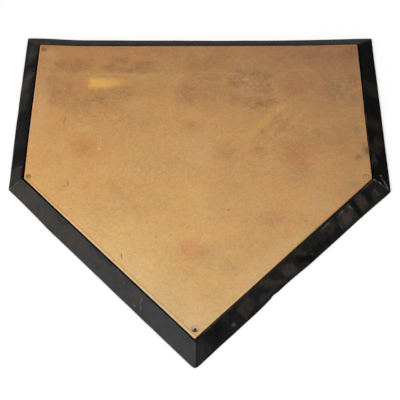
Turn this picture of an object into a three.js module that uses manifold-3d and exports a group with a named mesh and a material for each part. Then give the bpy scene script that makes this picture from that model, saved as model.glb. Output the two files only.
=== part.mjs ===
// Baseball home plate: a five-sided rubber slab let into a bevelled black rubber tray. A plywood
// board fills the tray from below. Wide flat bolts in tee nuts clamp the tray to the board, and
// a flat-head screw in each corner holds the slab down over them.
// Millimetres. +Z is up and the plate lies on z = 0. +Y points to the front edge, which
// faces the pitcher, and the rear point is at -Y. X = 0 is the plane of symmetry.

import * as THREE from "three";
import { mergeVertices } from "three/addons/utils/BufferGeometryUtils.js";
import Module from "manifold-3d";

// Playing face
const plateWidth = 431.8; // front edge, shoulder to shoulder
const sideLength = 215.9; // straight side, from the front edge to the shoulder
const pointDepth = 215.9; // from the line of the shoulders to the rear point

// Top slab
const slabThickness = 4.8;
const slabProud = 1.0; // how far the slab stands above the border's crest
const slabCornerRadius = 1.5;
const slabEdgeRound = 1.1;

// Bevelled base
const borderWidth = 22.2; // from the slab's edge to the foot of the bevel
const revealGap = 1.6; // groove between the slab and the border
const crestWidth = 2.0;
const crestRound = 0.8;
const lipHeight = 2.0; // upright lip at the foot of the bevel
const lipRound = 0.6;
const footCornerRadius = 3.0;
const floorThickness = 3.2; // rubber floor between the slab and the board

// Filler board
const boardThickness = 7.9;
const boardOverhang = 6.0; // how far the board reaches out under the border
const boardCornerRadius = 4.0;
const boardArris = 0.8;

// Corner screws: flat-head wood screws
const headDiameter = 6.4;
const headRim = 0.4; // upright edge of the head above its cone
const headAngle = 90; // full angle of the cone, in degrees
const shankDiameter = 3.5;
const screwPoint = 3.0; // length of the tapered end
const screwTipDiameter = 1.2; // blunt tip of the taper
const driveLength = 3.6; // cross recess, tip to tip
const driveWidth = 0.9;
const driveDepth = 0.9;
const screwCover = 2.3; // wood left below the end of a screw

const cornerInset = 5.8; // from the two nearest edges of the slab
const pointInset = 8.4; // the same at the rear point
const headSink = 0.2; // head below the slab's face
const pointSink = 2.0; // the screw at the rear point is driven deeper
const pointMouth = 8.6; // diameter of the worn hole above it

// Tie bolts: wide flat heads let into the tray's floor, square necks, tee nuts in the board
const boltHeadDiameter = 25.4;
const boltHeadRim = 0.8; // thickness of the head at its edge
const boltHeadDepth = 1.9; // thickness of the head at the neck
const boltNeckLength = 2.6;
const boltDiameter = 6.4; // shank, and side of the square neck
const boltRecess = 0.2; // bolt head and tee nut below the faces they are let into
const boltEndCover = 0.8; // from the end of a bolt up to the plate's underside
const boltFromSide = 82; // bolts of both rows, from the slab's side edges
const boltFromFront = 72; // front row, from the slab's front edge
const boltFromShoulders = 37; // rear row, ahead of the line of the shoulders
const boltFromPoint = 115; // last bolt, ahead of the rear point
const nutFlangeDiameter = 19;
const nutFlangeThickness = 1.3;
const nutBarrelDiameter = 8.8;
const nutBarrelLength = 4.4; // above the flange
const prongCount = 4;
const prongRadius = 7.4; // from the bolt's axis
const prongWidth = 3.0;
const prongHeight = 3.2;
const prongThickness = 1.0;

// Fits
const fitGap = 0.3; // play between pieces that go into each other

// Facets
const cornerSteps = 3; // half the steps of a rounded corner of the outline
const easeSteps = 3; // steps of a rounded edge
const screwSides = 16;
const boltSides = 20;

// Levels
const boardTop = boardThickness;
const floorTop = boardTop + floorThickness;
const slabTop = floorTop + slabThickness;
const crestTop = slabTop - slabProud;
const crestEase = Math.min(crestRound, 0.45 * crestWidth); // both edges fit on the crest

const wasm = await Module();
wasm.setup();

function solidOf(geometry) {
  const bare = geometry.clone();
  bare.deleteAttribute("normal");
  bare.deleteAttribute("uv");
  const merged = mergeVertices(bare);
  return new wasm.Manifold(
    new wasm.Mesh({
      numProp: 3,
      vertProperties: merged.getAttribute("position").array,
      triVerts: new Uint32Array(merged.index.array),
    }),
  );
}

function geometryOf(solid) {
  const mesh = solid.getMesh();
  const geometry = new THREE.BufferGeometry();
  geometry.setAttribute("position", new THREE.BufferAttribute(mesh.vertProperties, 3));
  geometry.setIndex(new THREE.BufferAttribute(mesh.triVerts, 1));
  geometry.computeVertexNormals();
  return geometry;
}

function cut(geometry, cutters) {
  const whole = solidOf(geometry);
  return geometryOf(cutters.reduce((rest, cutter) => rest.subtract(solidOf(cutter)), whole));
}

// The official outline, counter-clockwise from the front right corner
const faceCorners = [
  new THREE.Vector2(plateWidth / 2, sideLength),
  new THREE.Vector2(-plateWidth / 2, sideLength),
  new THREE.Vector2(-plateWidth / 2, 0),
  new THREE.Vector2(0, -pointDepth),
  new THREE.Vector2(plateWidth / 2, 0),
];

// Unit direction of the side that leaves a corner
function sideDirection(index) {
  const from = faceCorners[index % faceCorners.length];
  const to = faceCorners[(index + 1) % faceCorners.length];
  return to.clone().sub(from).normalize();
}

const outwardNormal = (direction) => new THREE.Vector2(direction.y, -direction.x);

// A corner of the outline grown outwards by an equal distance on every side
function grownCorner(index, grow) {
  const before = outwardNormal(sideDirection(index + faceCorners.length - 1));
  const after = outwardNormal(sideDirection(index));
  const reach = grow / (1 + before.dot(after));
  return faceCorners[index].clone().add(before.add(after).multiplyScalar(reach));
}

// The grown outline with an arc in each corner
function outline(grow, radius) {
  const path = new THREE.Path();
  faceCorners.forEach((_, index) => {
    const before = sideDirection(index + faceCorners.length - 1);
    const start = outwardNormal(before).angle();
    const turn = before.angleTo(sideDirection(index));
    const tangent = radius * Math.tan(turn / 2);
    const centre = grownCorner(index, grow)
      .addScaledVector(before, -tangent)
      .addScaledVector(outwardNormal(before), -radius);
    path.absarc(centre.x, centre.y, radius, start, start + turn);
  });
  return path.getPoints(cornerSteps);
}

// A solid whose section runs round the outline: each station is the outline grown by x
// at height y with its own corner radius, from the lower cap to the upper one
function moulding(stations) {
  const rings = stations.map(({ x, y, radius }) =>
    outline(x, radius).map((point) => new THREE.Vector3(point.x, point.y, y)),
  );
  const count = rings[0].length;
  const capFaces = THREE.ShapeUtils.triangulateShape(outline(0, slabCornerRadius), []);
  const upper = count * (rings.length - 1);
  const faces = [];
  capFaces.forEach(([a, b, c]) => {
    faces.push(c, b, a);
    faces.push(a + upper, b + upper, c + upper);
  });
  for (let ring = 0; ring < upper; ring += count) {
    for (let i = 0; i < count; i++) {
      const j = (i + 1) % count;
      faces.push(ring + i, ring + j, ring + count + j);
      faces.push(ring + i, ring + count + j, ring + count + i);
    }
  }
  const geometry = new THREE.BufferGeometry().setFromPoints(rings.flat());
  geometry.setIndex(faces);
  return geometry;
}

const withRadius = (points, radius) => points.map(({ x, y }) => ({ x, y, radius }));

function topSlab() {
  const section = new THREE.Path();
  section.moveTo(0, floorTop);
  section.lineTo(0, slabTop - slabEdgeRound);
  section.quadraticCurveTo(0, slabTop, -slabEdgeRound, slabTop);
  return moulding(withRadius(section.getPoints(easeSteps), slabCornerRadius));
}

// Board pocket, foot, lip, bevel, crest and recess in one section
function bevelledBase() {
  const pocketWall = boardOverhang + fitGap;
  const pocket = new THREE.Path();
  pocket.moveTo(pocketWall, boardTop);
  pocket.lineTo(pocketWall, 0);

  const lipTop = new THREE.Vector2(borderWidth, lipHeight);
  const crestOuter = new THREE.Vector2(revealGap + crestWidth, crestTop);
  const bevel = crestOuter.clone().sub(lipTop).normalize();
  const bevelStart = lipTop.clone().addScaledVector(bevel, lipRound);
  const bevelEnd = crestOuter.clone().addScaledVector(bevel, -crestEase);
  const border = new THREE.Path();
  border.moveTo(borderWidth, 0);
  border.lineTo(borderWidth, lipHeight - lipRound);
  border.quadraticCurveTo(lipTop.x, lipTop.y, bevelStart.x, bevelStart.y);
  border.lineTo(bevelEnd.x, bevelEnd.y);
  border.quadraticCurveTo(crestOuter.x, crestTop, crestOuter.x - crestEase, crestTop);
  border.lineTo(revealGap + crestEase, crestTop);
  border.quadraticCurveTo(revealGap, crestTop, revealGap, crestTop - crestEase);
  border.lineTo(revealGap, floorTop);

  const recessRadius = slabCornerRadius + revealGap;
  const borderStations = border.getPoints(easeSteps).map(({ x, y }) => ({
    x,
    y,
    radius: THREE.MathUtils.mapLinear(x, revealGap, borderWidth, recessRadius, footCornerRadius),
  }));
  return moulding([
    ...withRadius(pocket.getPoints(), boardCornerRadius + fitGap),
    ...borderStations,
  ]);
}

function fillerBoard() {
  const section = new THREE.Path();
  section.moveTo(boardOverhang - boardArris, 0);
  section.lineTo(boardOverhang, boardArris);
  section.lineTo(boardOverhang, boardTop);
  return moulding(withRadius(section.getPoints(), boardCornerRadius));
}

// Revolved about Z, from a section drawn upwards along the axis
function revolved(section, sides) {
  const points = section.map(([radius, height]) => new THREE.Vector2(radius, height));
  return new THREE.LatheGeometry(points, sides).rotateX(Math.PI / 2);
}

const coneHeight = (headDiameter - shankDiameter) / 2 / Math.tan(THREE.MathUtils.degToRad(headAngle / 2));

// Screw section with the top of its head at zero, swollen by a gap for the hole that it sits in
function screwSection(length, swell) {
  const head = headDiameter / 2 + swell;
  const shank = shankDiameter / 2 + swell;
  const end = -length - swell;
  return [
    [0, end],
    [screwTipDiameter / 2 + swell, end],
    [shank, end + screwPoint],
    [shank, -headRim - coneHeight - swell],
    [head, -headRim - swell],
    [head, 0],
  ];
}

function screw(length) {
  const body = revolved([...screwSection(length, 0), [0, 0]], screwSides);
  const bars = [
    [driveLength, driveWidth],
    [driveWidth, driveLength],
  ].map(([across, along]) => new THREE.BoxGeometry(across, along, 2 * driveDepth));
  return cut(body, bars);
}

// The hole for a screw: its own shape with play, open upwards to a mouth
function screwHole({ place, length, sink, mouth }) {
  const rim = mouth / 2;
  const above = sink + fitGap;
  const section = [...screwSection(length, fitGap), [rim, sink], [rim, above], [0, above]];
  return revolved(section, screwSides).translate(place.x, place.y, place.z);
}

// One entry for each corner screw: where the top of its head is, its length, and its hole's mouth
const cornerNames = ["front_right", "front_left", "left_shoulder", "point", "right_shoulder"];
const cornerScrews = cornerNames.map((name, index) => {
  const atPoint = name === "point";
  const sink = atPoint ? pointSink : headSink;
  const spot = grownCorner(index, atPoint ? -pointInset : -cornerInset);
  return {
    name,
    place: new THREE.Vector3(spot.x, spot.y, slabTop - sink),
    length: slabTop - sink - screwCover,
    sink,
    mouth: atPoint ? pointMouth : headDiameter + 2 * fitGap,
  };
});

// Tie bolt with its head's top at zero: a wide flat head, a square neck and a plain shank
const boltLength = floorTop - boltRecess - boltEndCover;

function tieBolt() {
  const head = boltHeadDiameter / 2;
  const shank = boltDiameter / 2;
  const round = revolved(
    [
      [0, -boltLength],
      [shank, -boltLength],
      [shank, -boltHeadDepth],
      [head, -boltHeadRim],
      [head, 0],
      [0, 0],
    ],
    boltSides,
  );
  return geometryOf(solidOf(round).add(solidOf(boltNeck(0))));
}

function boltNeck(swell) {
  const side = boltDiameter + 2 * swell;
  const height = boltNeckLength + boltHeadDepth + swell;
  return new THREE.BoxGeometry(side, side, height).translate(0, 0, -height / 2);
}

// What a bolt takes out of the floor and the board, open above its head
function boltSeat() {
  const head = boltHeadDiameter / 2 + fitGap;
  const shank = boltDiameter / 2 + fitGap;
  const above = boltRecess + fitGap;
  const round = revolved(
    [
      [0, -floorTop],
      [shank, -floorTop],
      [shank, -boltHeadDepth - fitGap],
      [head, -boltHeadRim - fitGap],
      [head, above],
      [0, above],
    ],
    boltSides,
  );
  return [round, boltNeck(fitGap)];
}

// Tee nut with its flange's underside at zero, pressed up into the board
function nutProngs(swell) {
  const half = prongWidth / 2 + swell;
  const top = nutFlangeThickness + prongHeight + swell;
  const outline = new THREE.Shape();
  outline.moveTo(-half, nutFlangeThickness / 2);
  outline.lineTo(half, nutFlangeThickness / 2);
  outline.lineTo(swell, top);
  outline.lineTo(-swell, top);
  const depth = prongThickness + 2 * swell;
  const settings = { depth, bevelEnabled: false };
  return Array.from({ length: prongCount }, (_, index) =>
    new THREE.ExtrudeGeometry(outline, settings)
      .translate(0, 0, -depth / 2)
      .rotateX(Math.PI / 2)
      .translate(0, prongRadius, 0)
      .rotateZ((2 * Math.PI * index) / prongCount),
  );
}

function teeNut() {
  const flange = nutFlangeDiameter / 2;
  const barrel = nutBarrelDiameter / 2;
  const bore = boltDiameter / 2 + fitGap;
  const top = nutFlangeThickness + nutBarrelLength;
  const round = revolved(
    [
      [bore, 0],
      [flange, 0],
      [flange, nutFlangeThickness],
      [barrel, nutFlangeThickness],
      [barrel, top],
      [bore, top],
      [bore, 0],
    ],
    boltSides,
  );
  return geometryOf(nutProngs(0).reduce((nut, prong) => nut.add(solidOf(prong)), solidOf(round)));
}

// What a tee nut takes out of the board, open below its flange
function nutSeat() {
  const flange = nutFlangeDiameter / 2 + fitGap;
  const barrel = nutBarrelDiameter / 2 + fitGap;
  const shoulder = nutFlangeThickness + fitGap;
  const top = nutFlangeThickness + nutBarrelLength + fitGap;
  const below = -boltRecess - fitGap;
  const round = revolved(
    [
      [0, below],
      [flange, below],
      [flange, shoulder],
      [barrel, shoulder],
      [barrel, top],
      [0, top],
    ],
    boltSides,
  );
  return [round, ...nutProngs(fitGap)];
}

const boltAcross = plateWidth / 2 - boltFromSide;
const boltFrontRow = sideLength - boltFromFront;
const tieBolts = [
  { name: "front_right", x: boltAcross, y: boltFrontRow },
  { name: "front_left", x: -boltAcross, y: boltFrontRow },
  { name: "rear_left", x: -boltAcross, y: boltFromShoulders },
  { name: "point", x: 0, y: boltFromPoint - pointDepth },
  { name: "rear_right", x: boltAcross, y: boltFromShoulders },
];
const atEveryBolt = (geometries, height) =>
  tieBolts.flatMap(({ x, y }) => geometries.map((geometry) => geometry.clone().translate(x, y, height)));

const whiteRubber = { color: "#c39b67", roughness: 0.7, metalness: 0 };
const blackRubber = { color: "#2c2b29", roughness: 0.6, metalness: 0 };
const plywood = { color: "#c8a877", roughness: 0.8, metalness: 0 };
const rustedSteel = { color: "#7a5c41", roughness: 0.55, metalness: 0.8 };
const zincSteel = { color: "#a9a89f", roughness: 0.4, metalness: 1 };

function piece(name, geometry, finish) {
  const mesh = new THREE.Mesh(geometry, new THREE.MeshStandardMaterial(finish));
  mesh.name = name;
  return mesh;
}

const boltTop = floorTop - boltRecess;
const screwHoles = cornerScrews.map(screwHole);
const boltSeats = atEveryBolt(boltSeat(), boltTop);
const nutSeats = atEveryBolt(nutSeat(), boltRecess);

const homePlate = new THREE.Group();
homePlate.add(piece("top_slab", cut(topSlab(), screwHoles), whiteRubber));
homePlate.add(piece("bevelled_base", cut(bevelledBase(), [...screwHoles, ...boltSeats]), blackRubber));
homePlate.add(
  piece("filler_board", cut(fillerBoard(), [...screwHoles, ...boltSeats, ...nutSeats]), plywood),
);

const driveTurn = THREE.MathUtils.degToRad(37); // each cross recess stops at its own angle
cornerScrews.forEach(({ name, place, length }, index) => {
  const mesh = piece("corner_screw_" + name, screw(length), rustedSteel);
  mesh.position.copy(place);
  mesh.rotation.z = driveTurn * index;
  homePlate.add(mesh);
});

tieBolts.forEach(({ name, x, y }) => {
  const bolt = piece("tie_bolt_" + name, tieBolt(), rustedSteel);
  bolt.position.set(x, y, boltTop);
  homePlate.add(bolt);
  const nut = piece("tee_nut_" + name, teeNut(), zincSteel);
  nut.position.set(x, y, boltRecess);
  homePlate.add(nut);
});

// The origin is under the middle of the plate's box
const footprint = new THREE.Box2().setFromPoints(outline(borderWidth, footCornerRadius));
const middle = footprint.getCenter(new THREE.Vector2());
homePlate.position.set(-middle.x, -middle.y, 0);

export default homePlate;
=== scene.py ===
import math
from functools import reduce

import bmesh
import bpy
from mathutils import Matrix, Vector, noise


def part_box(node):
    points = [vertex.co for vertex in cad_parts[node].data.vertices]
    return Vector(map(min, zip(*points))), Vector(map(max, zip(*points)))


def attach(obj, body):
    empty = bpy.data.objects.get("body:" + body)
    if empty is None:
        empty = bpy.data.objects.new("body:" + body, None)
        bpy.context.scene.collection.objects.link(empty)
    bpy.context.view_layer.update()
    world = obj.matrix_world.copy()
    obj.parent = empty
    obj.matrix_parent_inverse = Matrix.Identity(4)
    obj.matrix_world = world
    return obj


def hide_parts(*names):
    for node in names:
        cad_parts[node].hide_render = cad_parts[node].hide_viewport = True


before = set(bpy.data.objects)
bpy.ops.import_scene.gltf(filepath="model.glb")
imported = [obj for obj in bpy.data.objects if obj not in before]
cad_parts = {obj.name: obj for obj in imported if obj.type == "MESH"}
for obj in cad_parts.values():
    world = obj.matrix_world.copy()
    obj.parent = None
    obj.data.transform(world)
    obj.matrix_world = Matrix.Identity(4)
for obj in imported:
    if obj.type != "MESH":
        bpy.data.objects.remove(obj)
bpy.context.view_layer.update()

scene = bpy.context.scene
scene.view_settings.view_transform = "Standard"
print("frame:", len(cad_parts), "nodes")

# Lengths are in metres; points within the weld are one, and heights within nearly are level
mm = 0.001
weld = 0.001 * mm
cutSlack = 0.02 * mm
nearly = 0.1 * mm
smoothAngle = math.radians(40)

# Measures of the plate, read from the frame
slabLow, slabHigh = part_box("top_slab")
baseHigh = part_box("bevelled_base")[1]
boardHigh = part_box("filler_board")[1]
halfWidth = slabHigh.x
frontEdge = slabHigh.y
shoulderLine = frontEdge - halfWidth
rearPoint = shoulderLine - halfWidth
borderWidth = baseHigh.x - halfWidth
slant = math.sqrt(0.5)

# Outward direction of each side, and how far its edge is from the origin
plateSides = {
    "front": (Vector((0, 1)), frontEdge),
    "left": (Vector((-1, 0)), halfWidth),
    "rearLeft": (Vector((-slant, -slant)), -rearPoint * slant),
    "rearRight": (Vector((slant, -slant)), -rearPoint * slant),
    "right": (Vector((1, 0)), halfWidth),
}
cornerNames = ["front_right", "front_left", "left_shoulder", "point", "right_shoulder"]


# Corners of the outline, moved outwards by the same distance on every side
def plateCorners(grow):
    side = halfWidth + grow
    front = frontEdge + grow
    shoulder = shoulderLine - grow * math.tan(math.radians(22.5))
    point = rearPoint - grow * math.sqrt(2)
    return [(side, front), (-side, front), (-side, shoulder), (0, point), (side, shoulder)]


# Distance of a point outside the slab's edge, negative inside
def outside(x, y):
    return max(normal.x * x + normal.y * y - reach for normal, reach in plateSides.values())


def clamp(value):
    return max(0.0, min(1.0, value))


# Mesh helpers
def pieceFrom(bm, name):
    mesh = bpy.data.meshes.new(name)
    bm.to_mesh(mesh)
    bm.free()
    mesh.shade_smooth()
    mesh.set_sharp_from_angle(angle=smoothAngle)
    piece = bpy.data.objects.new(name, mesh)
    scene.collection.objects.link(piece)
    return piece


def coat(piece, finish):
    piece.data.materials.clear()
    piece.data.materials.append(finish)


def move(bm, shift):
    bmesh.ops.translate(bm, verts=bm.verts[:], vec=shift)


def faceOut(bm):
    bmesh.ops.recalc_face_normals(bm, faces=bm.faces[:])


def outlineFace(bm, grow, height):
    return bm.faces.new([bm.verts.new((x, y, height)) for x, y in plateCorners(grow)])


# Raises or sinks a face on new walls, and gives the face in its new place
def pull(bm, face, height):
    made = bmesh.ops.extrude_face_region(bm, geom=[*face.verts, *face.edges, face])["geom"]
    verts = [item for item in made if isinstance(item, bmesh.types.BMVert)]
    bmesh.ops.translate(bm, verts=verts, vec=(0, 0, height))
    return next(item for item in made if isinstance(item, bmesh.types.BMFace))


def inset(bm, face, width, rise=0.0):
    bmesh.ops.inset_region(bm, faces=[face], thickness=width, depth=rise, use_even_offset=True,
                           use_boundary=True)


def roundEdges(bm, items, radius, segments, affect="EDGES"):
    bmesh.ops.bevel(bm, geom=items, offset=radius, offset_type="OFFSET", affect=affect, segments=segments,
                    profile=0.5, material=-1, clamp_overlap=True)


# Cuts faces into small cells, so that wear can move them
def dice(bm, cell, wanted):
    reach = int((halfWidth + 2 * borderWidth) / cell)
    for axis in (Vector((1, 0, 0)), Vector((0, 1, 0))):
        faces = dict.fromkeys(face for face in bm.faces if wanted(face))
        for step in range(-reach, reach + 1):
            near = [face for face in faces if crosses(face, axis, step * cell)]
            if near:
                edges = dict.fromkeys(edge for face in near for edge in face.edges)
                verts = dict.fromkeys(vert for face in near for vert in face.verts)
                made = bmesh.ops.bisect_plane(bm, geom=[*verts, *edges, *near], dist=cutSlack,
                                              plane_co=axis * step * cell, plane_no=axis)["geom"]
                faces.update(dict.fromkeys(item for item in made if isinstance(item, bmesh.types.BMFace)))


def crosses(face, axis, place):
    along = [vert.co.dot(axis) for vert in face.verts]
    return min(along) < place < max(along)


# A section of (radius, height) turned round the vertical, and set in its place
def turned(section, steps, place):
    bm = bmesh.new()
    verts = [bm.verts.new((radius, 0, height)) for radius, height in section]
    edges = [bm.edges.new(pair) for pair in zip(verts, verts[1:])]
    bmesh.ops.spin(bm, geom=[*verts, *edges], cent=(0, 0, 0), axis=(0, 0, 1), angle=2 * math.pi,
                   steps=steps, use_merge=True)
    bmesh.ops.remove_doubles(bm, verts=bm.verts[:], dist=weld)
    move(bm, place)
    faceOut(bm)
    return bm


# Takes the closed shapes of a bmesh out of a piece
def carve(piece, bm):
    knife = pieceFrom(bm, "knife")
    cut = piece.modifiers.new("cut", "BOOLEAN")
    cut.object = knife
    cut.operation = "DIFFERENCE"
    cut.solver = "EXACT"
    whole = piece.data
    depsgraph = bpy.context.evaluated_depsgraph_get()
    piece.data = bpy.data.meshes.new_from_object(piece.evaluated_get(depsgraph))
    piece.modifiers.clear()
    piece.data.name = piece.name
    piece.data.shade_smooth()
    piece.data.set_sharp_from_angle(angle=smoothAngle)
    bpy.data.meshes.remove(whole)
    bpy.data.meshes.remove(knife.data)


def block(size):
    bm = bmesh.new()
    bmesh.ops.create_cube(bm, size=1.0)
    bmesh.ops.scale(bm, vec=size, verts=bm.verts[:])
    return bm


# One bmesh of several
def joined(parts):
    whole = bmesh.new()
    for part in parts:
        mesh = bpy.data.meshes.new("part")
        part.to_mesh(mesh)
        part.free()
        whole.from_mesh(mesh)
        bpy.data.meshes.remove(mesh)
    return whole


# Camera, at the angle of the photograph
photoCamera = {
    "location": (0.02177, -0.65756, 1.016211),
    "turn": (32.183, 0.715, 0.464),
    "sensor": 36,
    "lens": 86.907,
}


def makeCamera():
    data = bpy.data.cameras.new("camera")
    data.sensor_width = photoCamera["sensor"]
    data.lens = photoCamera["lens"]
    camera = bpy.data.objects.new("camera", data)
    camera.location = photoCamera["location"]
    camera.rotation_euler = [math.radians(angle) for angle in photoCamera["turn"]]
    scene.collection.objects.link(camera)
    scene.camera = camera


makeCamera()
print("camera placed")


# Shader sockets: arithmetic on a wire adds Math nodes
class Wire:
    def __init__(self, tree, socket=None):
        self.tree = tree
        self.socket = socket

    def node(self, kind, settings=None, inputs=None, output=0):
        made = self.tree.nodes.new("ShaderNode" + kind)
        for name, value in (settings or {}).items():
            if name == "stops":
                self.setStops(made.color_ramp, value)
            else:
                setattr(made, name, value)
        for name, value in (inputs or {}).items():
            self.feed(made.inputs[name], value)
        return Wire(self.tree, made.outputs[output] if made.outputs else None)

    def feed(self, socket, value):
        if isinstance(value, Wire):
            self.tree.links.new(value.socket, socket)
        else:
            socket.default_value = value

    def setStops(self, ramp, stops):
        while len(ramp.elements) < len(stops):
            ramp.elements.new(1.0)
        for element, (place, colour) in zip(ramp.elements, stops):
            element.position = place
            element.color = colour

    def math(self, operation, first, second=0.0):
        return self.node("Math", {"operation": operation}, {0: first, 1: second})

    def vector(self, operation, inputs, output=0):
        return self.node("VectorMath", {"operation": operation}, inputs, output)

    def __neg__(self):
        return self.math("MULTIPLY", self, -1.0)

    def __abs__(self):
        return self.math("ABSOLUTE", self)


# Arithmetic with a wire on either side of the sign
for sign, kind in (("add", "ADD"), ("sub", "SUBTRACT"), ("mul", "MULTIPLY"), ("truediv", "DIVIDE")):
    setattr(Wire, f"__{sign}__", lambda self, other, kind=kind: self.math(kind, self, other))
    setattr(Wire, f"__r{sign}__", lambda self, other, kind=kind: self.math(kind, other, self))


def lowest(first, second):
    return first.math("MINIMUM", first, second)


def highest(first, second):
    return first.math("MAXIMUM", first, second)


# A screen colour as the linear values that Blender works in
def tint(code):
    channels = [int(code[start:start + 2], 16) / 255 for start in (1, 3, 5)]
    return [*(c / 12.92 if c <= 0.04045 else ((c + 0.055) / 1.055) ** 2.4 for c in channels), 1.0]


def tints(codes):
    return {name: tint(code) for name, code in codes.items()}


def blendColour(factor, first, second, mode="MIX"):
    wire = next(item for item in (factor, first, second) if isinstance(item, Wire))
    settings = {"data_type": "RGBA", "blend_type": mode}
    return wire.node("Mix", settings, {0: factor, 6: first, 7: second}, 2)


# 0 at low and 1 at high, with eased ends
def ease(value, low, high):
    settings = {"interpolation_type": "SMOOTHSTEP"}
    return value.node("MapRange", settings, {0: value, 1: low, 2: high})


# The middle of Blender's noise, and how far a seed moves it
noiseMiddle = 0.5
seedShift = (37.0, -53.0, 71.0)
# Marks go through the whole thickness, in mm
markDepth = 1000


# Places seen from a turned and stretched frame of their own
def localPlace(place, location, turn, scale):
    return place.node("Mapping", {"vector_type": "TEXTURE"}, {
        "Vector": place, "Location": location, "Rotation": (0, 0, math.radians(turn)), "Scale": scale,
    })


# Noise with features of a size in mm, stretched to another size along y and turned by degrees if need be
def cloud(place, size, seed=0.0, detail=4.0, roughness=0.55, along=None, turn=0.0, output=0):
    along = along or size
    local = localPlace(place, [seed * shift for shift in seedShift], turn, (size, along, max(size, along)))
    return place.node("TexNoise", None, {
        "Vector": local, "Scale": 1.0, "Detail": detail, "Roughness": roughness,
    }, output)


# Noise about zero
def sway(noiseWire, amount):
    return (noiseWire - noiseMiddle) * amount


# An ellipse that fades from its middle to its edge
def spot(place, x, y, across, along, turn=0.0, core=0.0):
    local = localPlace(place, (x, y, 0), turn, (across, along, markDepth))
    return ease(place.vector("LENGTH", {0: local}, 1), 1.0, core)


# The same place, worked out after another wire, so that the shader holds few values at a time
def after(place, wire):
    return place.vector("MULTIPLY_ADD", {0: wire, 1: (1e-6, 1e-6, 1e-6), 2: place})


# The strongest of several marks at each place, each made after the one before
def strongest(place, make, marks):
    total = None
    for mark in marks:
        made = make(place if total is None else after(place, total), *mark)
        total = made if total is None else highest(total, made)
    return total


def spots(place, marks, core=0.0):
    def mark(here, x, y, across, along, strength, turn=0.0):
        return spot(here, x, y, across, along, turn, core) * strength

    return strongest(place, mark, marks)


# Places in mm, from the object's own coordinates
def placeInMm(wire):
    place = wire.node("TexCoord", None, None, "Object")
    return wire.vector("SCALE", {0: place, "Scale": 1 / mm})


def split(place):
    return [place.node("SeparateXYZ", None, {0: place}, output) for output in range(3)]


# Moves places about by noise, so that outlines wander
def wander(place, size, reach, seed=0.0, detail=3.0):
    push = cloud(place, size, seed=seed, detail=detail, output=1)
    push = place.vector("SUBTRACT", {0: push, 1: [noiseMiddle] * 3})
    push = place.vector("SCALE", {0: push, "Scale": reach})
    return place.vector("ADD", {0: place, 1: push})


def newFinish(name):
    material = bpy.data.materials.new(name)
    material.use_nodes = True
    material.node_tree.nodes.clear()
    return material, Wire(material.node_tree)


# Principled surface with relief in mm
def surface(wire, colour, rough, relief, shine=0.5, metal=0.0):
    bump = wire.node("Bump", None, {"Height": relief, "Distance": mm, "Strength": 1.0})
    shader = wire.node("BsdfPrincipled", None, {
        "Base Color": colour, "Roughness": rough, "Metallic": metal, "Specular IOR Level": shine,
        "Normal": bump,
    })
    wire.node("OutputMaterial", None, {"Surface": shader})


# How near to the outermost edge a side counts as its own, in mm: on the border, and in the groove
ownSide = {"border": (-2.0, -0.4), "groove": (-1.5, -0.3)}


# Distance outside the edge of each side in mm, as wires
def sideWires(x, y):
    wires = {}
    for name, (normal, reach) in plateSides.items():
        wires[name] = x * normal.x + y * normal.y - reach / mm
    return wires


# A colour that is painted over, or stained so that a part of each channel comes through
class Paint:
    def __init__(self, colour, looks, stains):
        self.colour = colour
        self.looks = looks
        self.stains = stains

    def cover(self, colour, amount):
        self.colour = blendColour(amount, self.colour, self.looks.get(colour, colour))

    def stain(self, name, amount):
        self.colour = blendColour(amount, self.colour, self.stains[name], "MULTIPLY")

    def tone(self, share, first, second):
        hue = blendColour(share, self.stains[first], self.stains[second])
        self.colour = blendColour(1.0, self.colour, hue, "MULTIPLY")


# Slab: white rubber stained by clay
slabFinish = {
    "deepClay": "#976845",
    "midClay": "#d2a267",
    "paleClay": "#ebbb76",
    "gold": "#efba5e",
    "glow": "#cf8a3e",
    "streak": "#e2a952",
    "pale": "#e6c48f",
    # pale worn rubber, also used as a painted highlight on the slab's rounded edge
    "wornEdge": "#f0dfbd",
    "edgeLine": "#a9804f",
    "wallClay": "#84653f",
    # painted shade on the slab's walls in the groove
    "wallShade": "#1c130b",
    "holeClay": "#c9ab94",
    # painted shade on the near side of the point's hole
    "holeShade": "#5d483d",
}
# How much of each colour a full stain lets through
slabStains = {
    "smudge": (0.67, 0.655, 0.79, 1.0),
    "rust": (0.90, 0.75, 0.76, 1.0),
    "grime": (0.50, 0.66, 0.80, 1.0),
    "scar": (0.40, 0.36, 0.34, 1.0),
    "knot": (0.66, 0.63, 0.66, 1.0),
    "reddish": (1.01, 0.975, 0.97, 1.0),
    "olive": (0.98, 1.01, 0.995, 1.0),
    "darkGrit": (0.864, 0.80, 0.73, 1.0),
    "paleGrit": (1.136, 1.20, 1.27, 1.0),
    "cool": (0.90, 0.98, 1.11, 1.0),
    "warm": (1.12, 1.02, 0.885, 1.0),
}
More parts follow.
